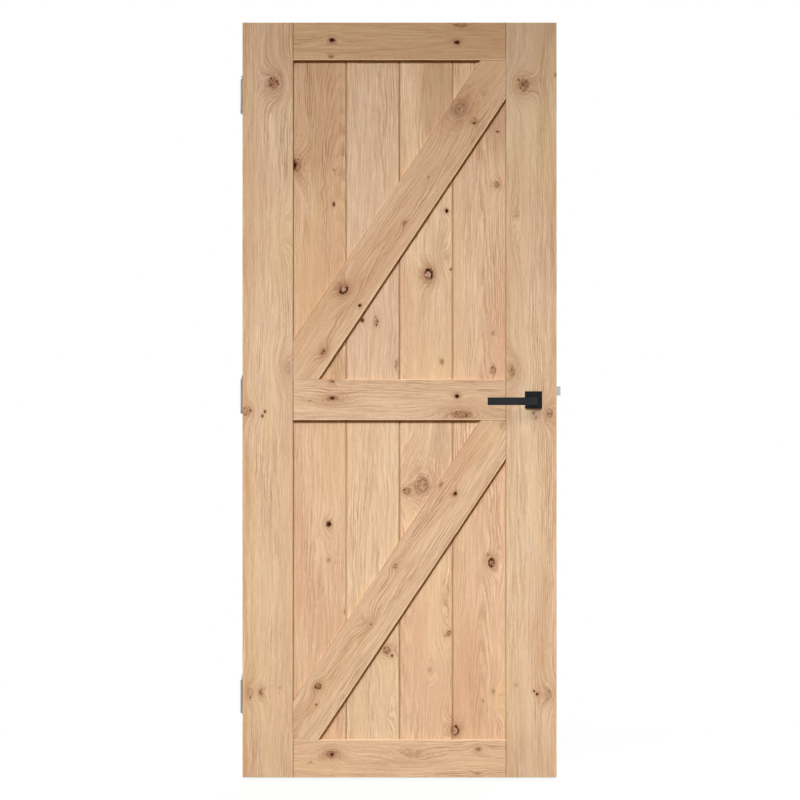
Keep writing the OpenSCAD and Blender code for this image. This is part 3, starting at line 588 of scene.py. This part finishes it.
for group in (stiles, rails, boards, braces):
    for name, own in group.items():
        piece = {**plain, **own, "node": name}
        dress([name], oakFinish("oak_" + name, piece))
print("oak on", sum(len(g) for g in (stiles, rails, boards, braces)), "pieces")


# black powder coat of the handles, a shade deeper on the roses
coat = {
    "grainPerMetre": 2600.0, "cloudPerMetre": 38.0, "cloudRange": (0.35, 0.7), "bump": (0.25, 0.0001),
    "lever": (tint(13, 17, 20), tint(26, 30, 33), 0.22),
    "rose": (tint(5, 7, 9), tint(13, 16, 18), 0.17),
}


def coatFinish(part):
    f = newFinish("black_coat_" + part)
    base, worn, gloss = coat[part]
    at = f.node("ShaderNodeTexCoord", {}, {}, "Object")
    orange = f.noise(at, 2, 0.6, coat["grainPerMetre"])
    cloud = f.noise(at, 2, 0.5, coat["cloudPerMetre"])
    colour = f.blend(f.rise(cloud, *coat["cloudRange"], 0.5) + orange * 0.2, base, worn)
    rough = 0.4 + 0.16 * cloud + 0.08 * orange
    return f.surface({"Base Color": colour, "Roughness": rough, "Specular IOR Level": gloss,
                      "Normal": f.bump(orange, *coat["bump"])})


# the meshes come with unjoined corners, so they are welded before their edges are rounded
edgeRound = {"weld": 0.00001, "width": 0.0004, "steps": 2, "angle": 35.0}
for part in ("lever", "rose"):
    pair = ["front_" + part, "back_" + part]
    dress(pair, coatFinish(part))
    for name in pair:
        nodes[name].modifiers.new("edge_weld", "WELD").merge_threshold = edgeRound["weld"]
        rounding = nodes[name].modifiers.new("edge_round", "BEVEL")
        rounding.width, rounding.segments = edgeRound["width"], edgeRound["steps"]
        rounding.limit_method, rounding.angle_limit = "ANGLE", math.radians(edgeRound["angle"])


# metals: brushed stainless for what shows at the edges, plated steel inside
metals = {
    "satin_stainless": {"colour": tint(186, 184, 180), "shade": tint(166, 164, 160),
                        "stretch": (3600.0, 3600.0, 20.0), "rough": 0.3},
    "zinc_plate": {"colour": tint(178, 180, 184), "shade": tint(140, 144, 152),
                   "stretch": (120.0, 120.0, 120.0), "rough": 0.42},
}


def metalFinish(name):
    metal = metals[name]
    f = newFinish(name)
    x, y, z = f.split(f.node("ShaderNodeTexCoord", {}, {}, "Object"))
    sx, sy, sz = metal["stretch"]
    brush = f.noise(f.join(x * sx, y * sy, z * sz), 3, 0.65)
    cloud = f.noise(f.join(x * 60, y * 60, z * 60), 2)
    colour = f.blend(f.rise(brush, 0.3, 0.75, 0.8), metal["colour"], metal["shade"])
    rough = metal["rough"] + 0.12 * brush + 0.1 * cloud
    return f.surface({"Base Color": colour, "Metallic": 1.0, "Roughness": rough,
                      "Normal": f.bump(brush, 0.12, 0.0001)})


nylons = {
    "natural_nylon": {"on": ["hinge_washers"], "light": tint(232, 230, 222), "deep": tint(214, 210, 198)},
    "dark_nylon": {"on": ["front_bush", "back_bush"], "light": tint(40, 41, 42), "deep": tint(26, 27, 28)},
}


def nylonFinish(name):
    nylon = nylons[name]
    f = newFinish(name)
    at = f.node("ShaderNodeTexCoord", {}, {}, "Object")
    cloud = f.noise(at, 3, 0.6, 420.0)
    colour = f.blend(cloud, nylon["light"], nylon["deep"])
    return f.surface({"Base Color": colour, "Roughness": 0.42 + 0.12 * cloud,
                      "Normal": f.bump(cloud, 0.1, 0.0001)})


slotOf = {row["node"]: row["material_slot"] for row in frame["record"]["subparts"]}
dress([n for n in nodes if slotOf[n] == "stainless"], metalFinish("satin_stainless"))
dress([n for n in nodes if slotOf[n] == "zinc"], metalFinish("zinc_plate"))
for name, own in nylons.items():
    dress(own["on"], nylonFinish(name))
print("metal, coat and nylon finishes on")


# springs: drawn again as copies of their pieces riding on the leaf, with the pieces themselves hidden
springs = {
    "latch_spring": {"joint": "latch_slide", "fixedEnd": 0, "travel": 0.0121},
    "follower_spring": {"joint": "lever_turn", "fixedEnd": 1, "travel": 0.0121},
}
for name, own in springs.items():
    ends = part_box(name)
    coil = bpy.data.objects.new(name + "_coil", nodes[name].data)
    bpy.context.scene.collection.objects.link(coil)
    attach(coil, "leaf")
    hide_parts(name)
    1 - own["travel"] / (ends[1].x - ends[0].x)
    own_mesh(coil)


# stage: a white floor that fades into a white world, a soft key light from the upper left,
# its twin behind and weak side lights; most of each key passes the handles without a shadow
stage = {
    "floorDrop": 0.006, "floorSize": 60.0, "floorTone": (0.25, 0.18, 0.115), "floorCloth": (0.9, 0.9, 0.9),
    "floorGlow": 0.87, "fadeFrom": 0.7, "fadeTo": 2.2, "ambient": 0.11, "ambientTone": (1.0, 0.7, 0.44),
    "keyReach": 6.0, "keyHeight": 41.0, "keyAside": 12.0, "keySpread": 34.0, "keySize": (4.4, 2.7),
    "keyAim": 0.58, "keyPower": 41.7, "shadowShare": 0.18,
    "sideLevel": 0.3, "sideHeight": 25.0, "sideReach": 3.0, "sideAim": 1.0, "sideAngle": 20.0,
}


def cameraSees(f):  # 1 for what the camera sees straight, in a reflection or through glass
    direct = f.node("ShaderNodeLightPath", {}, {}, "Is Camera Ray")
    others = [Value(f, direct.socket.node.outputs[name]) for name in ("Is Glossy Ray", "Is Transmission Ray")]
    return f.math("MINIMUM", direct + others[0] + others[1], 1.0)


def floorFinish():
    f = newFinish("white_floor")
    at = f.node("ShaderNodeTexCoord", {}, {}, "Object")
    away = f.node("ShaderNodeVectorMath", {"operation": "LENGTH"}, {0: at}, 1)
    fade = stage["floorGlow"] + f.rise(away, stage["fadeFrom"], stage["fadeTo"], 1 - stage["floorGlow"])
    bounce = f.blend(cameraSees(f), stage["floorTone"], stage["floorCloth"])
    cloth = f.node("ShaderNodeBsdfDiffuse", {}, {"Color": bounce})
    glow = f.node("ShaderNodeEmission", {}, {"Color": (1.0, 1.0, 1.0), "Strength": 1.0})
    both = f.node("ShaderNodeMixShader", {}, {0: cameraSees(f) * fade, 1: cloth, 2: glow})
    f.node("ShaderNodeOutputMaterial", {}, {"Surface": both})
    return f.owner


half, drop = stage["floorSize"] / 2, -stage["floorDrop"]
floorMesh = bpy.data.meshes.new("floor")
corners = [(-half, -half, drop), (half, -half, drop), (half, half, drop), (-half, half, drop)]
floorMesh.from_pydata(corners, [], [(0, 1, 2, 3)])
floorMesh.materials.append(floorFinish())
floor = bpy.data.objects.new("floor", floorMesh)
bpy.context.scene.collection.objects.link(floor)

world = bpy.data.worlds.new("studio")
bpy.context.scene.world = world
w = Finish(world)
sky = w.node("ShaderNodeBackground", {}, {"Color": w.blend(cameraSees(w), stage["ambientTone"], (1.0, 1.0, 1.0)),
                                          "Strength": cameraSees(w) * (1.0 - stage["ambient"]) + stage["ambient"]})
w.node("ShaderNodeOutputWorld", {}, {"Surface": sky})


def addLight(name, light, place, aim):
    lamp = bpy.data.objects.new(name, light)
    lamp.location = place
    lamp.rotation_euler = (Vector(aim) - Vector(place)).to_track_quat("-Z", "Y").to_euler()
    bpy.context.scene.collection.objects.link(lamp)
    return lamp


reach, rise, aside = stage["keyReach"], math.radians(stage["keyHeight"]), math.radians(stage["keyAside"])
shadeless = bpy.data.collections.new("passed_by_light")
for name in ("front_lever", "back_lever", "front_rose", "back_rose"):
    shadeless.objects.link(nodes[name])
for entry in shadeless.collection_objects:
    entry.light_linking.link_state = "EXCLUDE"
shaded, washed = stage["shadowShare"], 1 - stage["shadowShare"]
keys = [("front_key", -1, shaded, False), ("front_wash", -1, washed, True),
        ("back_key", 1, shaded, False), ("back_wash", 1, washed, True)]
for name, side, share, passes in keys:
    key = bpy.data.lights.new(name, "AREA")  # a softbox with a grid: its beam ends softly near the leaf's head
    key.shape = "RECTANGLE"
    key.size, key.size_y = stage["keySize"]
    key.spread = math.radians(stage["keySpread"])
    key.energy = stage["keyPower"] * share
    out = side * reach * math.cos(rise)
    place = (out * math.sin(aside), out * math.cos(aside), reach * math.sin(rise) + stage["keyAim"])
    lamp = addLight(name, key, place, (0, 0, stage["keyAim"]))
    if passes:
        lamp.light_linking.blocker_collection = shadeless
for name, side in (("left_side", -1), ("right_side", 1)):
    edge = bpy.data.lights.new(name, "SUN")
    edge.energy = stage["sideLevel"] * math.pi
    edge.angle = math.radians(stage["sideAngle"])
    climb = stage["sideReach"] * math.tan(math.radians(stage["sideHeight"]))
    addLight(name, edge, (side * stage["sideReach"], 0, stage["sideAim"] + climb), (0, 0, stage["sideAim"]))
print("stage and lights set")


# camera straight on at mid height, from far enough that the view is almost flat
shot = {"distance": 12.0, "height": 1.0575, "across": 0.0014, "frameWidth": 2.2412, "face": -0.02,
        "sensor": 36.0, "clipEnd": 200.0}
camera = bpy.data.cameras.new("camera")
camera.sensor_width = shot["sensor"]
camera.lens = camera.sensor_width * (shot["distance"] + shot["face"]) / shot["frameWidth"]
camera.clip_end = shot["clipEnd"]
cameraObject = bpy.data.objects.new("camera", camera)
cameraObject.location = (shot["across"], -shot["distance"], shot["height"])
cameraObject.rotation_euler = (math.radians(90), 0, 0)
bpy.context.scene.collection.objects.link(cameraObject)
bpy.context.scene.camera = cameraObject
bpy.context.scene.view_settings.view_transform = "Standard"
